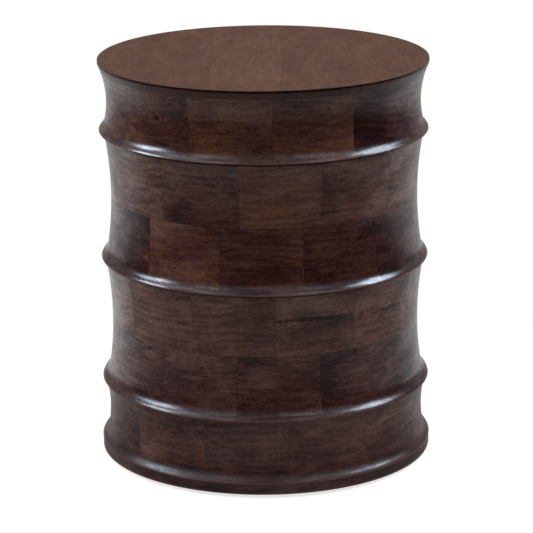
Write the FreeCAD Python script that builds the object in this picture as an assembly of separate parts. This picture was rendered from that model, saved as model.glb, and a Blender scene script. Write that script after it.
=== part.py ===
import FreeCAD, Part
import math
import os

# Round side table: a hollow drum of mitred hardwood blocks, glued up ring on ring and then
# turned on the outside to shallow flutes between sharp ridges, under a top of edge-glued boards.
# Millimetres, +Z up, origin on the floor under the middle of the drum, front towards -Y.

# Outline of the turned drum
drum_radius = 200.0       # rim of the top, and crest of the first two ridges
lower_spread = 1.8        # how far the third ridge stands outside these
base_spread = 3.5         # how far the lowest crest stands outside these
base_setback = 0.8        # how far the base ring stays inside the lowest crest
wall = 40.0               # from the first ridge's crest to the flat inner faces of the blocks
cove_radius = 20.0        # hollow that turns a flute out to the crest below it
nose_radius = 12.0        # round that brings the cove to the crest's sharp lower edge
crest_tilt = 20.0         # degrees from upright at which the nose meets that edge
lip_height = 4.0          # upright band at the rim of the top
sawing_allowance = 5.0    # wood outside the outline that the turning takes off
edge_break = 0.8          # narrow bevel that eases the top's outer edge and the base's

# Heights, from the floor up
glide_height = 4.0
base_height = 12.0
foot_height = 77.0        # one course of blocks
lower_height = 153.0      # two courses
upper_height = 157.0      # two courses
neck_height = 76.0        # one course, whose flute runs on into the edge of the top
top_thickness = 11.0

# Depth of each flute at its waist, measured in from the crests
foot_depth = 7.0
lower_depth = 12.3
upper_depth = 13.5
neck_depth = 10.0
neck_waist_drop = 5.0     # the neck's waist lies this far below half-way; the others' lie half-way

# How far each flute's upper edge is set back under the ridge above it
foot_setback = 2.0
lower_setback = 5.0
upper_setback = 6.0

# Rings of mitred blocks: degrees from the front, towards the right, to one mitre of each ring
blocks_per_ring = 12
base_clock = 19.0
foot_clock = 8.0
lower_ridge_clock = 20.0
lower_flute_clock = 3.5
upper_ridge_clock = 14.0
upper_flute_clock = 21.0
neck_clock = 3.0

# Boards of the top, which run from front to back
first_board_width = 53.0
board_width = 84.5

# Nailed glides under the base ring
glide_count = 4
glide_radius = 11.0
glide_bevel = 1.0         # bevelled floor edge of a glide
nail_radius = 1.5
nail_head_radius = 4.0
nail_head_thickness = 1.2
nail_head_recess = 1.0    # how far the nail's head stays off the floor
nail_point = 4.0          # length of the nail's tapered point
nail_tip_radius = 0.4
nail_cover = 2.0          # wood left over the point inside the base ring
nail_clearance = 0.1      # around the shank, the point and the head

# Levels and radii that follow
base_bottom = glide_height
base_top = base_bottom + base_height
foot_top = base_top + foot_height
lower_top = foot_top + lower_height
upper_top = lower_top + upper_height
neck_top = upper_top + neck_height
table_top = neck_top + top_thickness
lower_middle = (foot_top + lower_top) / 2
upper_middle = (lower_top + upper_top) / 2
third_crest_radius = drum_radius + lower_spread
lowest_crest_radius = drum_radius + base_spread
base_radius = lowest_crest_radius - base_setback
bore_flat = drum_radius - wall
block_angle = 360.0 / blocks_per_ring
narrowest_board = board_width / 2    # a last strip under this stays part of the board beside it

AXIS_POINT = FreeCAD.Vector(0, 0, 0)
UP = FreeCAD.Vector(0, 0, 1)


def at(radius, z):
    """A point of a half-section: distance from the drum's axis, and height."""
    return FreeCAD.Vector(radius, 0, z)


def line(start, end):
    return Part.LineSegment(start, end).toShape()


def arc(centre, start, end):
    """The shorter arc about centre from start to end."""
    radius = (start - centre).Length
    towards = (start - centre) + (end - centre)
    return Part.Arc(start, centre + towards.normalize() * radius, end).toShape()


def turned(outline):
    """Solid of revolution under an outline, whose edges run from its upper end to its lower end."""
    upper = outline[0].Vertexes[0].Point
    lower = outline[-1].Vertexes[-1].Point
    closing = [
        line(lower, at(0, lower.z)),
        line(at(0, lower.z), at(0, upper.z)),
        line(at(0, upper.z), upper),
    ]
    half_section = Part.Face(Part.Wire(outline + closing))
    return half_section.revolve(AXIS_POINT, UP, 360)


def upper_crossing(centre_a, radius_a, centre_b, radius_b):
    """The higher of the two points where two circles in the half-section cross."""
    across = centre_b - centre_a
    distance = across.Length
    along = (distance**2 + radius_a**2 - radius_b**2) / (2 * distance)
    aside = math.sqrt(radius_a**2 - along**2)
    across.normalize()
    foot = centre_a + across * along
    sideways = FreeCAD.Vector(-across.z, 0, across.x) * aside
    return max(foot + sideways, foot - sideways, key=lambda point: point.z)


def flute_outline(upper, waist_radius, crest, waist_drop=0.0):
    """Flute, cove and nose, each tangent to the next, from a flute's upper edge to the crest below it.

    The flute is the arc through the upper edge that stands upright at its waist, which lies
    half-way down or a little lower. The cove touches the flute's arc from inside and the nose's
    from outside, so its centre lies where a circle about each of their centres crosses.
    """
    descent = (upper.z - crest.z) / 2 + waist_drop
    sweep = upper.x - waist_radius
    flute_radius = (descent**2 + sweep**2) / (2 * sweep)
    flute_centre = at(waist_radius + flute_radius, upper.z - descent)
    slope = math.radians(crest_tilt)
    nose_centre = crest - at(math.cos(slope), math.sin(slope)) * nose_radius
    cove_centre = upper_crossing(
        flute_centre, flute_radius - cove_radius, nose_centre, nose_radius + cove_radius
    )
    to_cove = cove_centre - flute_centre
    flute_end = flute_centre + to_cove.normalize() * flute_radius
    from_nose = cove_centre - nose_centre
    nose_start = nose_centre + from_nose.normalize() * nose_radius
    return [
        arc(flute_centre, upper, flute_end),
        arc(cove_centre, flute_end, nose_start),
        arc(nose_centre, nose_start, crest),
    ]


def base_solid():
    """The plain upright band at the floor, bevelled along its lower edge."""
    bevel_start = at(base_radius, base_bottom + edge_break)
    bevel_end = at(base_radius - edge_break, base_bottom)
    return turned([line(at(base_radius, base_top), bevel_start), line(bevel_start, bevel_end)])


def flute_solid(setback, depth, top, crest_radius, bottom):
    """One flute of the drum, from under the ridge above it to the crest that it ends in."""
    upper = at(drum_radius - setback, top)
    return turned(flute_outline(upper, drum_radius - depth, at(crest_radius, bottom)))


def neck_solid():
    """The uppermost flute, with the upright lip and bevelled edge of the top's rim."""
    bevel_start = at(drum_radius - edge_break, table_top)
    bevel_end = at(drum_radius, table_top - edge_break)
    lip_end = at(drum_radius, table_top - lip_height)
    rim = [line(bevel_start, bevel_end), line(bevel_end, lip_end)]
    crest = at(drum_radius, upper_top)
    return turned(rim + flute_outline(lip_end, drum_radius - neck_depth, crest, neck_waist_drop))


def mitred_blank(bottom, top):
    """A sawn block before turning: flat inside, mitred at both ends, at the front of the drum."""
    flare = math.tan(math.radians(block_angle / 2))
    outside = lowest_crest_radius + sawing_allowance
    corners = [
        FreeCAD.Vector(-bore_flat * flare, -bore_flat, bottom),
        FreeCAD.Vector(-outside * flare, -outside, bottom),
        FreeCAD.Vector(outside * flare, -outside, bottom),
        FreeCAD.Vector(bore_flat * flare, -bore_flat, bottom),
    ]
    plan = Part.Face(Part.makePolygon(corners + corners[:1]))
    return plan.extrude(UP * (top - bottom))


def block_middle(clock, index):
    """Angle from the front to the middle of a block, counted from the mitre at the ring's clock angle."""
    return clock + (index + 0.5) * block_angle


def ring_blocks(drum, bottom, top, clock):
    """All blocks of one ring, cut from the turned drum between two levels."""
    block = mitred_blank(bottom, top).common(drum).Solids[0]
    middles = [block_middle(clock, index) for index in range(blocks_per_ring)]
    return [block.rotated(AXIS_POINT, UP, angle) for angle in middles]


def glide_angles():
    """Each glide sits under the middle of a block, spread evenly round the base ring."""
    step = blocks_per_ring // glide_count
    return [block_middle(base_clock, step * number) for number in range(glide_count)]


def on_glide_circle(solid, angle):
    """Carries a solid from the axis to its place under the middle of the base ring's wall."""
    placed = solid.translated(FreeCAD.Vector(0, -(bore_flat + base_radius) / 2, 0))
    return placed.rotated(AXIS_POINT, UP, angle)


def nail_solid(growth=0.0):
    """A flat-headed nail standing on its head; growth widens it all round, for the hole it sits in."""
    head_bottom = nail_head_recess
    head_top = head_bottom + nail_head_thickness
    tip = base_top - nail_cover
    shank = nail_radius + growth
    return turned([
        line(at(nail_tip_radius + growth, tip + growth), at(shank, tip - nail_point)),
        line(at(shank, tip - nail_point), at(shank, head_top)),
        line(at(shank, head_top), at(nail_head_radius + growth, head_top)),
        line(at(nail_head_radius + growth, head_top), at(nail_head_radius + growth, head_bottom)),
    ])


def glide_solid():
    """A round pad with a bevelled floor edge, drilled for its nail and recessed for the nail's head."""
    bevel_start = at(glide_radius, glide_bevel)
    bevel_end = at(glide_radius - glide_bevel, 0)
    pad = turned([line(at(glide_radius, glide_height), bevel_start), line(bevel_start, bevel_end)])
    recess = Part.makeCylinder(nail_head_radius + nail_clearance, nail_head_recess)
    return pad.cut(nail_solid(nail_clearance)).cut(recess)


def board_seams():
    """X of each joint between the top's boards, from the left."""
    seams = [first_board_width - drum_radius]
    while seams[-1] + board_width + narrowest_board < drum_radius:
        seams.append(seams[-1] + board_width)
    return seams


def top_boards(drum):
    """The boards of the top, from left to right, cut from the turned rim."""
    outside = drum_radius + sawing_allowance
    edges = [-outside] + board_seams() + [outside]
    boards = []
    for left, right in zip(edges, edges[1:]):
        corner = FreeCAD.Vector(left, -outside, neck_top)
        blank = Part.makeBox(right - left, 2 * outside, top_thickness, corner)
        boards.append(blank.common(drum).Solids[0])
    return boards


def save(name, solids):
    Part.makeCompound(solids).exportStep(f"parts/{name}.step")


foot = flute_solid(foot_setback, foot_depth, foot_top, lowest_crest_radius, base_top)
lower = flute_solid(lower_setback, lower_depth, lower_top, third_crest_radius, foot_top)
upper = flute_solid(upper_setback, upper_depth, upper_top, drum_radius, lower_top)
neck = neck_solid()
nail_holes = [on_glide_circle(nail_solid(nail_clearance), angle) for angle in glide_angles()]

rings = {
    "base": ring_blocks(base_solid(), base_bottom, base_top, base_clock),
    "foot": ring_blocks(foot, base_top, foot_top, foot_clock),
    "lower_ridge": ring_blocks(lower, foot_top, lower_middle, lower_ridge_clock),
    "lower_flute": ring_blocks(lower, lower_middle, lower_top, lower_flute_clock),
    "upper_ridge": ring_blocks(upper, lower_top, upper_middle, upper_ridge_clock),
    "upper_flute": ring_blocks(upper, upper_middle, upper_top, upper_flute_clock),
    "neck": ring_blocks(neck, upper_top, neck_top, neck_clock),
}
rings["base"] = [block.cut(nail_holes) for block in rings["base"]]

os.makedirs("parts", exist_ok=True)
for ring_name, blocks in rings.items():
    middle = len(blocks) // 2
    save(f"{ring_name}_half_ring_1", blocks[:middle])
    save(f"{ring_name}_half_ring_2", blocks[middle:])
for number, board in enumerate(top_boards(neck), start=1):
    save(f"top_board_{number}", [board])
for number, angle in enumerate(glide_angles(), start=1):
    save(f"glide_{number}", [on_glide_circle(glide_solid(), angle)])
save("glide_nails", [on_glide_circle(nail_solid(), angle) for angle in glide_angles()])
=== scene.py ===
import math

import bpy
import numpy as np
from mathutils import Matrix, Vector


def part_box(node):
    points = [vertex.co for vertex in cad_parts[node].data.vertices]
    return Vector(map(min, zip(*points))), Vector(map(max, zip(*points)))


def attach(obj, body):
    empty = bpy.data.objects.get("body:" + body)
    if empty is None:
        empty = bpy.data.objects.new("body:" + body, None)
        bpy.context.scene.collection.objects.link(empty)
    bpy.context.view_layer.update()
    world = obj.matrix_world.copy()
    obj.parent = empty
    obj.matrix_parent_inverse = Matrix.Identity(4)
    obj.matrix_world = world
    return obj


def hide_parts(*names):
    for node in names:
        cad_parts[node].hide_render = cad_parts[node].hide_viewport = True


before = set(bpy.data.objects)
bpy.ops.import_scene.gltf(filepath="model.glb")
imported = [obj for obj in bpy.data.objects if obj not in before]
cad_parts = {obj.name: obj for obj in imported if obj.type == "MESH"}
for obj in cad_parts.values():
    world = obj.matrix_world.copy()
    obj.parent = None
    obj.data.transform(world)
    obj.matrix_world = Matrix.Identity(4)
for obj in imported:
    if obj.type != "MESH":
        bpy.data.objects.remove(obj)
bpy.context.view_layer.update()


# Base ring
# A thin course of twelve mitred hardwood blocks that the drum stands on, glued end to end and
# turned to a plain upright band, then stained espresso brown and finished with satin lacquer.
drum_radius = 0.200           # rim of the top, and crest of the first two ridges
base_radius = 0.2027
wall = 0.040                  # from the first ridge's crest to the flat inner faces of the blocks
edge_ease = 0.0008            # rounding of the edges that hands and floors rub
ease_points = 6               # of an outline, round such an edge
blocks_per_ring = 12
block_facets = 24             # round one block
base_clock = 19               # degrees from the front, towards the right, to a mitre of the ring
# How light the wood of each block is, from 0 to 1, counted from that mitre to the right.
base_tones = (0.31, 0.19, 0.23, 0.17, 0.27, 0.19, 0.17, 0.27, 0.15, 0.23, 0.21, 0.21)
out_of_reach = 1.0            # metres; stands for a joint, crest, ridge or knot that a block lacks
tree_reach = 0.35             # metres either way, within which a block's wood is taken from the tree
tree_shape = (10, 1, 1)       # how many times that along the grain, through it and across it
usual_tilt = 0.035            # radians between a block and its grain
usual_lean = 1.1              # change of tone along a block, per metre
sharp_angle = math.radians(35)  # faces that meet at a greater angle keep an edge between them


def level_of(ring):
    """Bottom and top of a ring, from its first half-ring node."""
    low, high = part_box(f"{ring}_half_ring_1")
    return low.z, high.z


def turned_arc(centre, start, end, count):
    """Points of a half-section, as complex numbers: radius plus height times i.

    The start is turned about the centre by equal steps, until it reaches the end.
    """
    spoke = start - centre
    sweep = np.angle((end - centre) / spoke)
    return centre + spoke * np.exp(1j * sweep * np.linspace(0, 1, count))


def add_piece(name, points, faces, named_values):
    """A smooth mesh object with sharp corners, and named values at its points for its material."""
    mesh = bpy.data.meshes.new(name)
    mesh.from_pydata(points.reshape(-1, 3).tolist(), [], faces.reshape(-1, 4).tolist())
    for value_name, values in named_values.items():
        kind, field = ("FLOAT_VECTOR", "vector") if values.shape[-1] == 3 else ("FLOAT", "value")
        mesh.attributes.new(value_name, kind, "POINT").data.foreach_set(field, values.ravel())
    mesh.shade_smooth()
    mesh.set_sharp_from_angle(angle=sharp_angle)
    piece = bpy.data.objects.new(name, mesh)
    bpy.context.scene.collection.objects.link(piece)
    return piece


def half_ring(name, half, outline, clock, tones, joint=out_of_reach, crest=out_of_reach,
              ridge_above=out_of_reach, knots=()):
    """Six mitred blocks, each a closed section carried round a twelfth of a turn.

    The section runs down the turned outline and back up the inner face.  At an angle from the
    block's middle the outline keeps its radius, and the inner face lies at its distance over the
    cosine of that angle, so it stays a plane.  Each block has its own grain: straight along the
    block, in metres, with a small tilt and a random place in the tree.  Joint, crest and ridge
    above are levels that the material marks: glue lines at the joint, a rubbed edge and painted
    shade over the crest, and painted shade under the ridge above.  A knot gives its block, its
    place along that block, its level, and how many times it is drawn out along the block.
    """
    half_count = blocks_per_ring // 2
    half_angle = math.pi / blocks_per_ring
    numbers = np.arange(half_count) + half_count * (half - 1)
    middles = math.radians(clock) + (2 * numbers + 1) * half_angle
    swing = np.linspace(-half_angle, half_angle, block_facets + 1)
    inside = (drum_radius - wall) / np.cos(swing)
    rows = len(outline)
    radius = np.hstack([np.tile(outline.real, (len(swing), 1)), np.tile(inside[:, None], rows)])
    height = np.concatenate([outline.imag, outline.imag[::-1]]) + 0 * radius
    turn = middles[:, None, None] + swing[:, None]
    points = np.stack([radius * np.sin(turn), -radius * np.cos(turn), height + 0 * turn], axis=-1)

    upper_level = int(1000 * outline[0].imag)     # in millimetres; seeds the ring's wood
    draw = np.random.default_rng(upper_level + half)
    tilt = draw.normal(0, usual_tilt, (half_count, 1, 1))
    tree_place = draw.uniform(-tree_reach, tree_reach, (half_count, 1, 1, 3)) * tree_shape
    along = radius * np.sin(swing)[:, None]
    depth = radius * np.cos(swing)[:, None]
    grain = np.stack([
        along * np.cos(tilt) + height * np.sin(tilt),
        depth + 0 * tilt,
        height * np.cos(tilt) - along * np.sin(tilt),
    ], axis=-1) + tree_place
    lean = draw.normal(0, usual_lean, (half_count, 1, 1))
    tone = (np.array(tones)[numbers][:, None, None] + lean * along)[..., None]
    mitre_gap = radius * (half_angle - np.abs(swing))[:, None]
    gaps = np.stack([mitre_gap, np.abs(height - joint), np.abs(height - crest)], axis=-1)
    shelter = np.abs(height - ridge_above)[..., None]
    knot = np.full_like(points, out_of_reach)
    for block, place_along, level, drawn in knots:
        knot[numbers == block] = np.stack(
            [(along - place_along) / drawn, height - level, 0 * height], axis=-1
        )

    loop = 2 * rows
    number = np.arange(half_count * len(swing) * loop).reshape(half_count, len(swing), loop)
    beside = np.roll(number, -1, axis=2)
    sides = np.stack([number[:, :-1], beside[:, :-1], beside[:, 1:], number[:, 1:]], axis=-1)
    outer = number[:, :, :rows]
    inner = number[:, :, :rows - 1:-1]
    start = np.stack([outer[:, 0, :-1], inner[:, 0, :-1], inner[:, 0, 1:], outer[:, 0, 1:]], axis=-1)
    end = np.stack([outer[:, -1, :-1], outer[:, -1, 1:], inner[:, -1, 1:], inner[:, -1, :-1]], axis=-1)
    faces = np.concatenate([part.reshape(-1, 4) for part in (sides, start, end)])
    return add_piece(name, points, faces, {
        "grain": grain,
        "tone": tone,
        "gaps": gaps + 0 * points,
        "shelter": shelter + 0 * points[..., :1],
        "knot": knot,
    })


def set_inputs(tree, node, inputs):
    """Sets each named input of a node to a value, or links it to another node's output."""
    for socket, value in inputs.items():
        if isinstance(value, bpy.types.NodeSocket):
            tree.links.new(value, node.inputs[socket])
        else:
            node.inputs[socket].default_value = value


def add_node(tree, kind, inputs, **settings):
    """The outputs of a new shader node with these inputs and settings."""
    made = tree.nodes.new("ShaderNode" + kind)
    for setting, value in settings.items():
        setattr(made, setting, value)
    set_inputs(tree, made, inputs)
    return made.outputs


def calculate(tree, operation, first, second=0.0, third=0.0):
    """One step of arithmetic between numbers of a shader."""
    return add_node(tree, "Math", {0: first, 1: second, 2: third}, operation=operation)[0]


def calculate_vector(tree, operation, first, second=(0, 0, 0)):
    """One step of arithmetic between vectors of a shader."""
    made = add_node(tree, "VectorMath", {0: first, 1: second}, operation=operation)
    return made["Value" if operation == "LENGTH" else "Vector"]


def fade(tree, value, begin, finish):
    """A mask that goes smoothly from 0, where a value is at begin, to 1, where it is at finish."""
    ends = {"Value": value, "From Min": begin, "From Max": finish}
    return add_node(tree, "MapRange", ends, interpolation_type="SMOOTHSTEP")["Result"]


def drawn_noise(tree, vector, scale, stretch=(1, 1, 1), detail=2.0, roughness=0.5):
    """Noise with about scale spots to the metre, drawn out along an axis where its stretch is small."""
    drawn = calculate_vector(tree, "MULTIPLY", vector, stretch)
    look = {"Vector": drawn, "Scale": scale, "Detail": detail, "Roughness": roughness}
    return add_node(tree, "TexNoise", look)["Fac"]


def blend_colours(tree, mask, under, over, strength=1.0):
    """The under colour where a mask is 0, going to the over colour, by its strength, where it is 1."""
    share = calculate(tree, "MULTIPLY", mask, strength)
    return add_node(tree, "Mix", {"Factor": share, "A": under, "B": over}, data_type="RGBA")["Result"]


def blend_values(tree, mask, under, over):
    """The under number where a mask is 0, going to the over number where it is 1."""
    return add_node(tree, "Mix", {"Factor": mask, "A": under, "B": over})["Result"]


def colour_steps(tree, value, steps):
    """A colour ramp through (position, colour) steps."""
    ramp = tree.nodes.new("ShaderNodeValToRGB")
    set_inputs(tree, ramp, {"Fac": value})
    stops = ramp.color_ramp.elements
    while len(stops) < len(steps):
        stops.new(1.0)
    for stop, (position, colour) in zip(stops, steps):
        stop.position = position
        stop.color = (*colour, 1)
    return ramp.outputs["Color"]


def raised(tree, height, strength, distance):
    """The normals of a surface that a height pattern raises, by up to a distance in metres."""
    look = {"Height": height, "Strength": strength, "Distance": distance}
    return add_node(tree, "Bump", look)["Normal"]


def new_group(name, inputs, outputs):
    """An empty shader node group with named sockets: its tree, its inputs and its output node."""
    tree = bpy.data.node_groups.new(name, "ShaderNodeTree")
    for direction, sockets in (("INPUT", inputs), ("OUTPUT", outputs)):
        for socket, kind in sockets.items():
            tree.interface.new_socket(socket, in_out=direction, socket_type="NodeSocket" + kind)
    given = tree.nodes.new("NodeGroupInput").outputs
    result = tree.nodes.new("NodeGroupOutput")
    return tree, given, result


def new_material(name):
    """A material, its node tree and its Principled shader."""
    material = bpy.data.materials.new(name)
    material.use_nodes = True
    return material, material.node_tree, material.node_tree.nodes["Principled BSDF"]


def point_values(tree, name):
    """The values of that name at a piece's points: Vector for three numbers, Fac for one."""
    return add_node(tree, "Attribute", {}, attribute_name=name)


def object_place(tree):
    """Where a point of the surface lies, in metres from the floor under the middle of the drum."""
    return add_node(tree, "TexCoord", {})["Object"]


# Wood figure, shared by the blocks and the boards of the top: clouds, growth rings, short streaks,
# flecks of fibre and open pores, all drawn out along the grain, which wanders and parts round a knot.
# Shade is how light the wood is, from 0 to 1, and Warmth sets patches of stain apart.
grain_sway = 0.024            # metres that the grain wanders from side to side
knot_oval = (0.6, 1, 1)       # a knot is longer along the grain than across it
knot_reach = 0.020            # from a knot's middle to where the grain runs straight again
knot_parting = 0.85           # share of its height over the knot by which the grain is moved
knot_ring_pitch = 1700        # radians per metre
figure_mean = 1.38            # what the parts of the figure add up to in plain wood
figure_group, figure_in, figure_out = new_group(
    "wood_figure",
    {"Grain": "Vector", "Tone": "Float", "Knot": "Vector"},
    {"Shade": "Float", "Streak": "Float", "Pores": "Float", "Fleck": "Float", "Warmth": "Float"},
)
straight = figure_in["Grain"]
wander = drawn_noise(figure_group, straight, 22, stretch=(0.35, 1, 1))
sway = calculate(figure_group, "MULTIPLY_ADD", wander, grain_sway, -grain_sway / 2)
knot_sway = calculate(figure_group, "MULTIPLY", sway, 0.5)
knot_sway = add_node(figure_group, "CombineXYZ", {"Y": knot_sway})[0]
wavy_knot = calculate_vector(figure_group, "ADD", figure_in["Knot"], knot_sway)
oval_knot = calculate_vector(figure_group, "MULTIPLY", wavy_knot, knot_oval)
from_knot = calculate_vector(figure_group, "LENGTH", oval_knot)
above_knot = add_node(figure_group, "SeparateXYZ", {0: figure_in["Knot"]})["Y"]
round_knot = fade(figure_group, from_knot, knot_reach, knot_reach / 10)
parting = calculate(figure_group, "MULTIPLY", above_knot, -knot_parting)
parting = calculate(figure_group, "MULTIPLY", parting, round_knot)
upward_sway = calculate(figure_group, "ADD", sway, parting)
sway = add_node(figure_group, "CombineXYZ", {"Y": sway, "Z": upward_sway})[0]
bent = calculate_vector(figure_group, "ADD", straight, sway)
slim = calculate_vector(figure_group, "MULTIPLY", bent, (0.12, 1, 1))
rings = add_node(figure_group, "TexWave", {
    "Vector": slim, "Scale": 36, "Distortion": 3.0, "Detail": 3, "Detail Scale": 0.6,
}, wave_type="RINGS", rings_direction="X", wave_profile="SIN")["Fac"]
cloud = drawn_noise(figure_group, straight, 34, stretch=(0.45, 1, 1), detail=3, roughness=0.6)
streak = drawn_noise(figure_group, bent, 230, stretch=(0.10, 1, 1), detail=3, roughness=0.6)
fleck = drawn_noise(figure_group, bent, 720, stretch=(0.21, 1, 1), roughness=0.7)
pores = drawn_noise(figure_group, bent, 1300, stretch=(0.14, 1, 1), detail=1)
pores = fade(figure_group, pores, 0.58, 0.68)
warmth = drawn_noise(figure_group, straight, 60, stretch=(0.4, 1, 1), detail=4, roughness=0.75)
knot_rings = calculate(figure_group, "MULTIPLY", from_knot, knot_ring_pitch)
knot_rings = calculate(figure_group, "SINE", knot_rings)
knot_rings = calculate(figure_group, "MULTIPLY", knot_rings, round_knot)
knot_core = fade(figure_group, from_knot, 0.0030, 0.0008)
shade = figure_in["Tone"]
for part, weight in (
    (rings, 0.10), (knot_rings, 0.07), (knot_core, -0.60), (cloud, 1.00), (streak, 0.70), (fleck, 0.95),
):
    shade = calculate(figure_group, "MULTIPLY_ADD", part, weight, shade)
shade = calculate(figure_group, "SUBTRACT", shade, figure_mean)
set_inputs(figure_group, figure_out, {
    "Shade": shade, "Streak": streak, "Pores": pores, "Fleck": fleck, "Warmth": warmth,
})

# Stained block wood: espresso stain under satin lacquer outside, raw wood inside the drum.  The stain
# is cooler and warmer in patches, and goes nearly black in mineral streaks, pores and glue lines.
# Painted shade darkens the wood just over each crest, and the flute's top in the groove under each
# ridge.  The crests are rubbed to redder wood, and the foot is scuffed.
espresso = (
    (0.00, (0.024, 0.0056, 0.0062)),
    (0.30, (0.068, 0.0210, 0.0156)),
    (0.50, (0.110, 0.0394, 0.0242)),
    (0.75, (0.168, 0.0690, 0.0374)),
    (1.00, (0.230, 0.1020, 0.0510)),
)
espresso_patches = ((0.32, (0.90, 1.0, 1.32)), (0.68, (1.10, 1.0, 0.76)))    # cooler to warmer
raw_wood = ((0.1, (0.13, 0.066, 0.034)), (0.9, (0.33, 0.20, 0.105)))
mineral_stain = (0.0085, 0.0045, 0.0042, 1)
pore_stain = (0.009, 0.0045, 0.0036, 1)
glue_stain = (0.008, 0.0045, 0.0040, 1)
# Colour of the painted shade in the grooves under the ridges
painted_groove_shade = (0.007, 0.0040, 0.0038, 1)
# Colour of the painted shade over the crests
painted_cove_shade = (0.012, 0.0062, 0.0064, 1)
rubbed_wood = (0.150, 0.056, 0.040, 1)
glue_fade = (0.0006, 0.00015)  # metres from a joint, over which its dark line comes in
painted_groove_fade = (0.0030, 0.0016)  # metres under a ridge, for the painted shade in the groove
painted_cove_fade = (0.017, 0.007)  # metres over a crest, for the painted shade in its cove
rubbed_fade = (0.0046, 0.0018)  # metres over a crest, for its rubbed edge
finished_fade = (0.180, 0.184)  # metres from the drum's axis, from raw wood to stained
scuffed_fade = (0.150, 0.015)  # metres over the floor, for scuffed lacquer
raw_roughness = 0.82
satin_roughness = 0.175
streak_roughness = 0.10       # more than that on light streaks
scuffed_roughness = 0.14      # and on scuffed lacquer
film_weight = 0.28            # of the lacquer on plain wood
film_contrast = 1.6           # by which it grows on light figure and shrinks on dark
film_wear = 0.3               # share that is lost where it is scuffed
drum_wood, tree, lacquer = new_material("drum_wood")
grain = point_values(tree, "grain")["Vector"]
tone = point_values(tree, "tone")["Fac"]
knot = point_values(tree, "knot")["Vector"]
gaps = add_node(tree, "SeparateXYZ", {0: point_values(tree, "gaps")["Vector"]})
from_mitre, from_joint, from_crest = gaps["X"], gaps["Y"], gaps["Z"]
from_ridge_above = point_values(tree, "shelter")["Fac"]
figure = add_node(
    tree, "Group", {"Grain": grain, "Tone": tone, "Knot": knot}, node_tree=figure_group
)
stain = colour_steps(tree, figure["Shade"], espresso)
patches = colour_steps(tree, figure["Warmth"], espresso_patches)
stain = calculate_vector(tree, "MULTIPLY", stain, patches)
mineral = drawn_noise(tree, grain, 70, stretch=(0.08, 0.6, 1), detail=3, roughness=0.55)
mineral = fade(tree, mineral, 0.62, 0.74)
stain = blend_colours(tree, mineral, stain, mineral_stain, strength=0.75)
stain = blend_colours(tree, figure["Pores"], stain, pore_stain, strength=0.45)
smudge = drawn_noise(tree, grain, 240)
mitre_line = fade(tree, from_mitre, *glue_fade)
level_line = fade(tree, from_joint, *glue_fade)
glue_line = calculate(tree, "MAXIMUM", mitre_line, level_line)
glue_line = calculate(tree, "MULTIPLY", glue_line, fade(tree, smudge, 0.25, 0.6))
stain = blend_colours(tree, glue_line, stain, glue_stain, strength=0.75)
# Painted shade: the flute's top is darkened in the groove under the ridge above.
groove = fade(tree, from_ridge_above, *painted_groove_fade)
stain = blend_colours(tree, groove, stain, painted_groove_shade, strength=0.50)
# Painted shade: the wood just over each crest is darkened, in a ridge's cove and low on the plain base
# band.
painted_cove_mask = fade(tree, from_crest, *painted_cove_fade)
stain = blend_colours(tree, painted_cove_mask, stain, painted_cove_shade, strength=0.36)
rubbed = calculate(tree, "MULTIPLY_ADD", smudge, 0.0016, from_crest)
rubbed = fade(tree, rubbed, *rubbed_fade)
stain = blend_colours(tree, rubbed, stain, rubbed_wood, strength=0.65)
place = object_place(tree)
flat_place = calculate_vector(tree, "MULTIPLY", place, (1, 1, 0))
from_axis = calculate_vector(tree, "LENGTH", flat_place)
finished = calculate(tree, "MULTIPLY_ADD", smudge, 0.006, from_axis)
finished = fade(tree, finished, *finished_fade)
raw = colour_steps(tree, figure["Shade"], raw_wood)
scuffed = fade(tree, add_node(tree, "SeparateXYZ", {0: place})["Z"], *scuffed_fade)
satin = calculate(tree, "MULTIPLY_ADD", figure["Streak"], streak_roughness, satin_roughness)
satin = calculate(tree, "MULTIPLY_ADD", scuffed, scuffed_roughness, satin)
film = calculate(tree, "SUBTRACT", figure["Shade"], tone)
film = calculate(tree, "MULTIPLY_ADD", film, film_contrast, film_weight)
film_left = calculate(tree, "MULTIPLY_ADD", scuffed, -film_wear, 1.0)
film = calculate(tree, "MULTIPLY", film, film_left)
film = calculate(tree, "MAXIMUM", film, 0.0)
turning_marks = drawn_noise(tree, place, 620, stretch=(0.03, 0.03, 1))
relief = calculate(tree, "MULTIPLY", turning_marks, 0.6)
relief = calculate(tree, "MULTIPLY_ADD", figure["Fleck"], 0.5, relief)
relief = calculate(tree, "MULTIPLY_ADD", figure["Pores"], -0.5, relief)
set_inputs(tree, lacquer, {
    "Base Color": blend_colours(tree, finished, raw, stain),
    "Roughness": blend_values(tree, finished, raw_roughness, satin),
    "Coat Weight": calculate(tree, "MULTIPLY", film, finished),
    "Coat Roughness": 0.22,
    "Specular IOR Level": 0.30,
    "Normal": raised(tree, relief, strength=0.07, distance=0.0006),
})

base_bottom, base_top = level_of("base")
base_ease = complex(base_radius - edge_ease, base_bottom + edge_ease)
base_outline = np.concatenate([
    [complex(base_radius, base_top)],
    turned_arc(base_ease, base_ease + edge_ease, base_ease - 1j * edge_ease, ease_points),
])
for half in (1, 2):
    piece = half_ring(f"base_blocks_{half}", half, base_outline, base_clock, base_tones,
                      crest=base_bottom)
    piece.data.materials.append(drum_wood)
    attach(piece, "root")
    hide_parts(f"base_half_ring_{half}")


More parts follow.
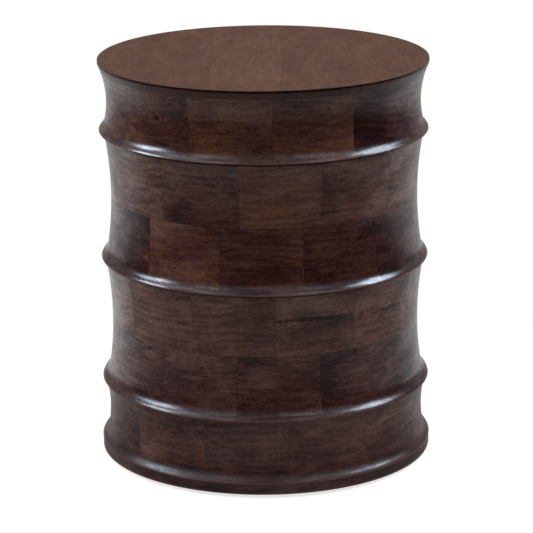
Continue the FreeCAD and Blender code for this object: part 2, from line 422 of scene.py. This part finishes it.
# Foot ring
# One course of mitred blocks, glued on the base ring and turned to the lowest flute, which sweeps
# out to a rounded crest just over the base.  The same stain and lacquer.
base_spread = 0.0035          # how far this crest stands outside the rim of the top
foot_waist = 0.193            # radius of the flute half-way down
foot_setback = 0.002          # of its upper edge, under the ridge above
foot_quirk = 0.0010           # height of the fine groove at that edge
quirk_depth = 0.6             # of a groove's height
quirk_slope = 0.3             # of its height, by which its lower face falls outwards
cove_radius = 0.020           # hollow that turns a flute out to its crest
nose_radius = 0.012           # round that brings the cove to the crest's sharp lower edge
crest_tilt = math.radians(20)  # slope of the nose at that edge, from upright
flute_points = 26             # of an outline, down a flute, then round its cove and its nose
cove_points = 14
nose_points = 10
foot_clock = 8
foot_tones = (0.38, 0.31, 0.37, 0.33, 0.29, 0.35, 0.37, 0.31, 0.35, 0.27, 0.35, 0.32)


def turned_flute(upper, waist_radius, crest, waist_drop=0.0):
    """Half-section of a flute, a cove and a nose, each tangent to the next, down to an eased crest.

    The flute is the arc through its upper edge that stands upright at its waist, half-way down or a
    little lower.  The cove touches it from inside and the nose from outside, so its centre is the
    higher crossing of two circles.
    """
    descent = (upper.imag - crest.imag) / 2 + waist_drop
    sweep = upper.real - waist_radius
    flute_radius = (descent**2 + sweep**2) / (2 * sweep)
    flute_centre = complex(waist_radius + flute_radius, upper.imag - descent)
    nose_centre = crest - nose_radius * np.exp(1j * crest_tilt)
    to_nose = nose_centre - flute_centre
    first_reach = flute_radius - cove_radius
    second_reach = nose_radius + cove_radius
    along = (abs(to_nose) ** 2 + first_reach**2 - second_reach**2) / (2 * abs(to_nose))
    aside = math.sqrt(first_reach**2 - along**2)
    heading = to_nose / abs(to_nose)
    crossings = [flute_centre + heading * complex(along, side) for side in (aside, -aside)]
    cove_centre = max(crossings, key=lambda crossing: crossing.imag)
    to_cove = (cove_centre - flute_centre) / first_reach
    flute_end = flute_centre + to_cove * flute_radius
    nose_start = nose_centre + (cove_centre - nose_centre) / second_reach * nose_radius
    ease_rise = crest.imag + edge_ease - nose_centre.imag
    ease_reach = math.sqrt((nose_radius - edge_ease) ** 2 - ease_rise**2)
    ease_centre = nose_centre + complex(ease_reach, ease_rise)
    nose_end = nose_centre + (ease_centre - nose_centre) / (nose_radius - edge_ease) * nose_radius
    return np.concatenate([
        turned_arc(flute_centre, upper, flute_end, flute_points)[:-1],
        turned_arc(cove_centre, flute_end, nose_start, cove_points)[:-1],
        turned_arc(nose_centre, nose_start, nose_end, nose_points)[:-1],
        turned_arc(ease_centre, nose_end, ease_centre - 1j * edge_ease, ease_points),
    ])


def point_at(outline, level):
    """The point where an outline, which runs downwards, crosses a level."""
    return complex(np.interp(level, outline.imag[::-1], outline.real[::-1]), level)


def quirked(outline, tall):
    """An outline whose upper edge is cut back by a fine groove of that height."""
    upper = outline[0]
    edge = point_at(outline, upper.imag - tall)
    below = outline[outline.imag < edge.imag]
    depth = quirk_depth * tall
    groove = [upper - depth, edge - depth + 1j * quirk_slope * tall, edge]
    return np.concatenate([groove, below])


foot_bottom, foot_top = level_of("foot")
foot_outline = turned_flute(
    complex(drum_radius - foot_setback, foot_top),
    foot_waist,
    complex(drum_radius + base_spread, foot_bottom),
)
foot_outline = quirked(foot_outline, foot_quirk)
for half in (1, 2):
    piece = half_ring(f"foot_blocks_{half}", half, foot_outline, foot_clock, foot_tones,
                      crest=foot_bottom)
    piece.data.materials.append(drum_wood)
    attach(piece, "root")
    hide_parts(f"foot_half_ring_{half}")


# Lower tier
# Two courses of mitred blocks, glued with their mitres staggered and turned as one deep flute that
# ends in the third ridge.  The same stain and lacquer.
lower_spread = 0.0018         # how far its ridge stands outside the rim of the top
lower_waist = 0.1877
lower_setback = 0.005
lower_quirk = 0.0021
lower_ridge_clock = 20
lower_flute_clock = 3.5
lower_ridge_tones = (0.20, 0.18, 0.38, 0.36, 0.42, 0.32, 0.42, 0.38, 0.40, 0.30, 0.35, 0.36)
lower_flute_tones = (0.46, 0.50, 0.44, 0.38, 0.49, 0.42, 0.35, 0.47, 0.40, 0.48, 0.45, 0.52)
lower_ridge_knots = ((9, 0.026, 0.164, 1), (3, -0.015, 0.140, 1))
lower_flute_knots = ((0, -0.006, 0.213, 14), (1, 0.012, 0.208, 6), (6, 0.010, 0.200, 10))


def parted(outline, level):
    """An outline's stretches above and below a level, each with a point on it."""
    meeting = point_at(outline, level)
    above = outline[outline.imag > level + edge_ease / 2]
    below = outline[outline.imag < level - edge_ease / 2]
    return np.append(above, meeting), np.append(meeting, below)


lower_bottom, lower_middle = level_of("lower_ridge")
lower_top = level_of("lower_flute")[1]
lower_outline = turned_flute(
    complex(drum_radius - lower_setback, lower_top),
    lower_waist,
    complex(drum_radius + lower_spread, lower_bottom),
)
lower_flute_outline, lower_ridge_outline = parted(lower_outline, lower_middle)
lower_flute_outline = quirked(lower_flute_outline, lower_quirk)
for half in (1, 2):
    ridge = half_ring(f"lower_ridge_blocks_{half}", half, lower_ridge_outline, lower_ridge_clock,
                      lower_ridge_tones, lower_middle, lower_bottom, knots=lower_ridge_knots)
    flute = half_ring(f"lower_flute_blocks_{half}", half, lower_flute_outline, lower_flute_clock,
                      lower_flute_tones, lower_middle, ridge_above=lower_top, knots=lower_flute_knots)
    for piece, ring in ((ridge, "lower_ridge"), (flute, "lower_flute")):
        piece.data.materials.append(drum_wood)
        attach(piece, "root")
        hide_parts(f"{ring}_half_ring_{half}")


# Upper tier
# Two more courses of mitred blocks, glued and finished like the lower tier's.  They are a little
# taller, deeper in the waist, and end in the second ridge.
upper_waist = 0.1865
upper_setback = 0.006
upper_quirk = 0.0027
upper_ridge_clock = 14
upper_flute_clock = 21
upper_ridge_tones = (0.25, 0.10, 0.40, 0.45, 0.36, 0.50, 0.42, 0.34, 0.46, 0.14, 0.48, 0.38)
upper_flute_tones = (0.42, 0.42, 0.40, 0.44, 0.36, 0.50, 0.38, 0.46, 0.42, 0.40, 0.34, 0.68)
upper_bottom, upper_middle = level_of("upper_ridge")
upper_top = level_of("upper_flute")[1]
upper_outline = turned_flute(
    complex(drum_radius - upper_setback, upper_top),
    upper_waist,
    complex(drum_radius, upper_bottom),
)
upper_flute_outline, upper_ridge_outline = parted(upper_outline, upper_middle)
upper_flute_outline = quirked(upper_flute_outline, upper_quirk)
for half in (1, 2):
    ridge = half_ring(f"upper_ridge_blocks_{half}", half, upper_ridge_outline, upper_ridge_clock,
                      upper_ridge_tones, upper_middle, upper_bottom)
    flute = half_ring(f"upper_flute_blocks_{half}", half, upper_flute_outline, upper_flute_clock,
                      upper_flute_tones, upper_middle, ridge_above=upper_top)
    for piece, ring in ((ridge, "upper_ridge"), (flute, "upper_flute")):
        piece.data.materials.append(drum_wood)
        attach(piece, "root")
        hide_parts(f"{ring}_half_ring_{half}")


# Neck ring
# One course of mitred blocks under the top, turned to the uppermost flute, which starts in the rim
# of the top and ends in the first ridge.  The same stain and lacquer.
lip_height = 0.004            # upright band at the rim of the top
neck_waist = 0.190
neck_waist_drop = 0.005       # below half-way down
neck_clock = 3
neck_tones = (0.56, 0.08, 0.38, 0.44, 0.36, 0.48, 0.40, 0.34, 0.46, 0.42, 0.38, 0.55)
neck_knots = ((10, 0.005, 0.448, 1), (4, -0.020, 0.440, 1))
neck_bottom, neck_top = level_of("neck")
table_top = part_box("top_board_3")[1].z
neck_outline = turned_flute(
    complex(drum_radius, table_top - lip_height),
    neck_waist,
    complex(drum_radius, neck_bottom),
    neck_waist_drop,
)
rim_flute, neck_ring_outline = parted(neck_outline, neck_top)
for half in (1, 2):
    piece = half_ring(f"neck_blocks_{half}", half, neck_ring_outline, neck_clock, neck_tones,
                      neck_top, neck_bottom, knots=neck_knots)
    piece.data.materials.append(drum_wood)
    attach(piece, "root")
    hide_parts(f"neck_half_ring_{half}")


# Top boards
# Five boards of the same wood, glued edge to edge with the grain from front to back and turned at
# the rim with the neck.  The flat face is finished matt; the rim is darker and keeps the drum's gloss.
board_tones = (0.50, 0.46, 0.56, 0.46, 0.46)
board_columns = 31            # of points across a board
board_rows = 41               # and along it
outermost = 0.9995            # of the radius, where the end boards stop at a hair's breadth of side
rim_ease = complex(drum_radius - edge_ease, table_top - edge_ease)
rim_outline = np.concatenate([
    turned_arc(rim_ease, rim_ease + 1j * edge_ease, rim_ease + edge_ease, ease_points),
    rim_flute,
])


def board(name, left, right, tone_value, seed):
    """A board of the turned top: a box whose layers are slices of discs.

    Across the board an angle runs between the arcsines of its two joints over the disc's radius, and
    a point lies at radius times the sine of that angle and, from front to back, at a share of radius
    times its cosine.  The disc's radius follows the rim's outline from layer to layer.
    """
    across = np.linspace(0, 1, board_columns)
    lengthwise = np.linspace(-1, 1, board_rows)
    layers = np.arange(len(rim_outline))

    def surface(a, b, layer):
        radius = rim_outline.real[layer]
        begin = np.arcsin(np.maximum(left / radius, -outermost))
        finish = np.arcsin(np.minimum(right / radius, outermost))
        angle = begin + (finish - begin) * a
        level = rim_outline.imag[layer] + 0 * (a + b)
        return np.stack([radius * np.sin(angle), b * radius * np.cos(angle), level], axis=-1)

    a_grid, b_grid = np.meshgrid(across, lengthwise, indexing="ij")
    a_rim, rim_layer = np.meshgrid(across, layers, indexing="ij")
    b_side, side_layer = np.meshgrid(lengthwise, layers, indexing="ij")
    sheets = [
        (surface(a_grid, b_grid, 0), False),
        (surface(a_grid, b_grid, len(layers) - 1), True),
        (surface(a_rim, -1.0, rim_layer), True),
        (surface(a_rim, 1.0, rim_layer), False),
        (surface(0.0, b_side, side_layer), False),
        (surface(1.0, b_side, side_layer), True),
    ]
    points = []
    faces = []
    begin = 0
    for sheet, turned_over in sheets:
        number = begin + np.arange(sheet.shape[0] * sheet.shape[1]).reshape(sheet.shape[:2])
        corners = [number[:-1, :-1], number[1:, :-1], number[1:, 1:], number[:-1, 1:]]
        faces.append(np.stack(corners[::-1] if turned_over else corners, axis=-1).reshape(-1, 4))
        points.append(sheet.reshape(-1, 3))
        begin += number.size
    points, joined = np.unique(np.concatenate(points).round(7), axis=0, return_inverse=True)
    faces = joined.ravel()[np.concatenate(faces)]

    draw = np.random.default_rng(seed)
    grain = points[:, [1, 2, 0]] + draw.uniform(-tree_reach, tree_reach, 3) * tree_shape
    joint_gap = np.minimum(np.abs(points[:, :1] - left), np.abs(points[:, :1] - right))
    tones = np.full_like(joint_gap, tone_value)
    return add_piece(name, points, faces, {"grain": grain, "tone": tones, "joint_gap": joint_gap})


walnut = (
    (0.05, (0.081, 0.0355, 0.0212)),
    (0.50, (0.119, 0.0533, 0.0306)),
    (0.95, (0.170, 0.0772, 0.0455)),
)
walnut_patches = ((0.32, (0.93, 1.03, 1.16)), (0.68, (1.06, 0.99, 0.88)))    # cooler to warmer
rim_wood = ((0.1, (0.024, 0.0090, 0.0075)), (0.9, (0.085, 0.0270, 0.0170)))
top_pore_stain = (0.04, 0.018, 0.011, 1)
top_glue_stain = (0.03, 0.014, 0.010, 1)
rim_edge_stain = (0.008, 0.0035, 0.0040, 1)
rim_fade = (table_top - 0.0004, table_top - 0.0010)  # levels, from the flat face to the rim
rim_edge_fade = (table_top - 0.0040, table_top - 0.0020)  # levels, up to the rim's darker edge
rim_roughness = 0.27
rim_film = 0.40               # weight of the lacquer on the rim
matt_roughness = 0.52
matt_streak_roughness = 0.2   # more than that on light streaks
top_wood, tree, lacquer = new_material("top_wood")
figure = add_node(tree, "Group", {
    "Grain": point_values(tree, "grain")["Vector"],
    "Tone": point_values(tree, "tone")["Fac"],
    "Knot": (out_of_reach, out_of_reach, 0),
}, node_tree=figure_group)
stain = colour_steps(tree, figure["Shade"], walnut)
patches = colour_steps(tree, figure["Warmth"], walnut_patches)
stain = calculate_vector(tree, "MULTIPLY", stain, patches)
stain = blend_colours(tree, figure["Pores"], stain, top_pore_stain, strength=0.3)
glue_line = fade(tree, point_values(tree, "joint_gap")["Fac"], *glue_fade)
stain = blend_colours(tree, glue_line, stain, top_glue_stain, strength=0.22)
level = add_node(tree, "SeparateXYZ", {0: object_place(tree)})["Z"]
rim = fade(tree, level, *rim_fade)
rim_edge = fade(tree, level, *rim_edge_fade)
rim_stain = colour_steps(tree, figure["Shade"], rim_wood)
rim_stain = blend_colours(tree, rim_edge, rim_stain, rim_edge_stain, strength=0.85)
matt = calculate(tree, "MULTIPLY_ADD", figure["Streak"], matt_streak_roughness, matt_roughness)
relief = calculate(tree, "MULTIPLY_ADD", figure["Pores"], -0.5, figure["Fleck"])
set_inputs(tree, lacquer, {
    "Base Color": blend_colours(tree, rim, stain, rim_stain),
    "Roughness": blend_values(tree, rim, matt, rim_roughness),
    "Coat Weight": calculate(tree, "MULTIPLY", rim, rim_film),
    "Coat Roughness": 0.22,
    "Specular IOR Level": 0.10,
    "Normal": raised(tree, relief, strength=0.12, distance=0.0006),
})
for number, board_tone in enumerate(board_tones, start=1):
    low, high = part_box(f"top_board_{number}")
    left = low.x if number > 1 else -out_of_reach
    right = high.x if number < len(board_tones) else out_of_reach
    piece = board(f"top_plank_{number}", left, right, board_tone, number)
    piece.data.materials.append(top_wood)
    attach(piece, "root")
    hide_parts(f"top_board_{number}")


# Glides
# Four round nylon pads that keep the base ring off the floor, moulded in brown, with a bevelled
# floor edge and a recess for the nail's head.
brown_nylon = ((0.3, (0.026, 0.017, 0.012)), (0.8, (0.058, 0.042, 0.032)))
glide_nylon, tree, plastic = new_material("glide_nylon")
place = object_place(tree)
scuff = drawn_noise(tree, place, 320, detail=3)
mould_grain = drawn_noise(tree, place, 2600)
set_inputs(tree, plastic, {
    "Base Color": colour_steps(tree, scuff, brown_nylon),
    "Roughness": calculate(tree, "MULTIPLY_ADD", scuff, 0.3, 0.4),
    "Normal": raised(tree, mould_grain, strength=0.2, distance=0.0002),
})
for number in (1, 2, 3, 4):
    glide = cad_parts[f"glide_{number}"]
    glide.data.materials.clear()
    glide.data.materials.append(glide_nylon)


# Glide nails
# Four flat-headed steel nails, drawn from bright wire and a little tarnished, one driven through each
# glide into the base ring.
tarnished_steel = ((0.35, (0.52, 0.51, 0.50)), (0.75, (0.30, 0.28, 0.26)))
nail_steel, tree, steel = new_material("nail_steel")
tarnish = drawn_noise(tree, object_place(tree), 900, detail=3)
set_inputs(tree, steel, {
    "Base Color": colour_steps(tree, tarnish, tarnished_steel),
    "Roughness": calculate(tree, "MULTIPLY_ADD", tarnish, 0.3, 0.2),
    "Metallic": 1.0,
})
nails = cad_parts["glide_nails"]
nails.data.materials.clear()
nails.data.materials.append(nail_steel)


# Floor
# A plain sheet of pale paper under the table, reaching far behind it.  The camera sees it near the
# table only, as white with the table's shadow, and not from below.  Behind the table, and more to the
# left, the sheet also glows for reflections only: a painted reflection in the lacquer.
floor_half_width = 1.8
floor_half_length = 2.45
floor_middle = 1.1            # behind the table
floor_spokes = 96
floor_rings = 12
floor_core = 0.02             # share of the way out where the innermost ring lies
floor_turn = np.linspace(0, 2 * math.pi, floor_spokes, endpoint=False)
floor_share = np.linspace(floor_core, 1, floor_rings)[:, None]
floor_points = np.stack([
    floor_share * floor_half_width * np.cos(floor_turn),
    floor_share * floor_half_length * np.sin(floor_turn) + floor_middle,
    0 * floor_share * floor_turn,
], axis=-1)
floor_number = np.arange(floor_points.size // 3).reshape(floor_points.shape[:2])
floor_next = np.roll(floor_number, -1, axis=1)
floor_faces = np.stack([floor_number[:-1], floor_number[1:], floor_next[1:], floor_next[:-1]], axis=-1)
floor_mesh = bpy.data.meshes.new("floor")
floor_mesh.from_pydata(
    floor_points.reshape(-1, 3).tolist(), [],
    floor_faces.reshape(-1, 4).tolist() + [floor_number[0].tolist()],
)
floor = bpy.data.objects.new("floor", floor_mesh)
bpy.context.scene.collection.objects.link(floor)
pale_paper = ((0.0, (0.48, 0.41, 0.35)), (1.0, (0.52, 0.45, 0.39)))
white = (1, 1, 1, 1)
sky_white = (0.80, 0.97, 1, 1)
seen_glow = 0.74              # of the sheet, for the camera
mirrored_glow = 0.18          # of the sheet behind the table, in the lacquer
mirrored_glow_left = 0.13     # more than that on the left
floor_paper, tree, paper = new_material("floor_paper")
place = object_place(tree)
spots = add_node(tree, "SeparateXYZ", {0: place})
mottle = drawn_noise(tree, place, 12)
rays = add_node(tree, "LightPath", {})
seen = rays["Is Camera Ray"]
behind = fade(tree, spots["Y"], -0.05, 0.35)
towards_left = fade(tree, spots["X"], 0.4, -0.6)
# Painted reflection: a glow that only glossy rays see, behind the table and more to the left.
mirrored = calculate(tree, "MULTIPLY_ADD", towards_left, mirrored_glow_left, mirrored_glow)
mirrored = calculate(tree, "MULTIPLY", mirrored, behind)
mirrored = calculate(tree, "MULTIPLY", mirrored, rays["Is Glossy Ray"])
from_middle = add_node(tree, "Mapping", {
    "Vector": place,
    "Location": (0, -floor_middle / floor_half_length, 0),
    "Scale": (1 / floor_half_width, 1 / floor_half_length, 1),
})[0]
sheet = fade(tree, calculate_vector(tree, "LENGTH", from_middle), 0.98, 0.80)
from_table = calculate_vector(tree, "LENGTH", place)
hidden = calculate(tree, "MULTIPLY", seen, fade(tree, from_table, 0.32, 0.62))
hidden = calculate(tree, "MAXIMUM", hidden, add_node(tree, "NewGeometry", {})["Backfacing"])
shown = calculate(tree, "SUBTRACT", 1.0, hidden)
set_inputs(tree, paper, {
    "Base Color": colour_steps(tree, mottle, pale_paper),
    "Roughness": 0.9,
    "Specular IOR Level": 0.0,
    "Emission Color": blend_colours(tree, seen, sky_white, white),
    "Emission Strength": calculate(tree, "MULTIPLY_ADD", seen, seen_glow, mirrored),
    "Alpha": calculate(tree, "MULTIPLY", sheet, shown),
})
floor_mesh.materials.append(floor_paper)


# Studio light
# A soft dome, brightest overhead and faint near the floor, where it brightens behind the table.  Cold
# softboxes light both sides, and two weak ones the front.  The camera sees the dome as a white sweep.
ceiling_light = ((0.00, (0.44, 0.44, 0.53)), (0.50, (0.24, 0.24, 0.28)))     # dimmer behind the table
low_light = 0.02
low_light_behind = 0.21       # more than that behind the table
sweep_mirrored = 0.06         # share of the white sweep that the lacquer shows
world = bpy.data.worlds.new("studio")
bpy.context.scene.world = world
world.use_nodes = True
tree = world.node_tree
direction = add_node(tree, "SeparateXYZ", {0: add_node(tree, "TexCoord", {})["Generated"]})
rise = direction["Z"]
away = direction["Y"]
backdrop = calculate(tree, "MULTIPLY_ADD", fade(tree, away, 0.1, 0.95), low_light_behind, low_light)
backdrop = add_node(tree, "CombineColor", {0: backdrop, 1: backdrop, 2: backdrop})[0]
ceiling = colour_steps(tree, away, ceiling_light)
dome = blend_colours(tree, fade(tree, rise, 0.36, 0.58), backdrop, ceiling)
rays = add_node(tree, "LightPath", {})
mirrored = calculate(tree, "MULTIPLY", rays["Is Glossy Ray"], fade(tree, away, 0.0, 0.8))
mirrored = calculate(tree, "MULTIPLY", mirrored, sweep_mirrored)
sweep_seen = calculate(tree, "MAXIMUM", rays["Is Camera Ray"], mirrored)
sweep_seen = calculate(tree, "MAXIMUM", sweep_seen, rays["Is Transmission Ray"])
set_inputs(tree, tree.nodes["Background"], {"Color": blend_colours(tree, sweep_seen, dome, white)})

lamp_distance = 1.9           # from the middle of the table
cold = (0.73, 0.865, 1.0)
cool = (0.88, 0.94, 1.0)


def softbox(name, azimuth, elevation, width, tall, radiance, tint):
    """An area lamp aimed at the middle of the table; azimuth 0 is the camera's side, 90 the right."""
    lamp = bpy.data.lights.new(name, "AREA")
    lamp.shape = "RECTANGLE"
    lamp.size = width
    lamp.size_y = tall
    lamp.energy = radiance * math.pi * width * tall
    lamp.color = tint
    turn = math.radians(azimuth)
    climb = math.radians(elevation)
    box = bpy.data.objects.new(name, lamp)
    box.location = (
        lamp_distance * math.cos(climb) * math.sin(turn),
        -lamp_distance * math.cos(climb) * math.cos(turn),
        lamp_distance * math.sin(climb) + table_top / 2,
    )
    box.rotation_euler = (math.pi / 2 - climb, 0, turn)
    box.visible_camera = False
    bpy.context.scene.collection.objects.link(box)


softbox("left_softbox", -89, 31, width=0.72, tall=0.42, radiance=22.0, tint=cold)
softbox("left_upper_softbox", -88, 52, width=0.80, tall=0.55, radiance=3.0, tint=cold)
softbox("right_softbox", 98, 41, width=0.72, tall=0.70, radiance=17.8, tint=cold)
softbox("front_left_softbox", -44, 47, width=0.80, tall=0.60, radiance=1.5, tint=cool)
softbox("front_right_softbox", 40, 47, width=0.80, tall=0.60, radiance=1.3, tint=cool)


# Camera
# A long lens three metres in front of the table, above its top and tilted down at the drum.
photo_side = 533              # pixels
focal_pixels = 2700
camera_place = (0.0023, -3.1946, 1.132)
camera_dip = 0.2761           # radians below level
camera_roll = 0.0076
camera_turn = -0.0021
camera = bpy.data.cameras.new("camera")
camera.sensor_width = 36
camera.lens = camera.sensor_width * focal_pixels / photo_side
camera_object = bpy.data.objects.new("camera", camera)
camera_object.location = camera_place
camera_object.rotation_euler = (math.pi / 2 - camera_dip, camera_roll, camera_turn)
bpy.context.scene.collection.objects.link(camera_object)
bpy.context.scene.camera = camera_object
bpy.context.scene.view_settings.view_transform = "Standard"
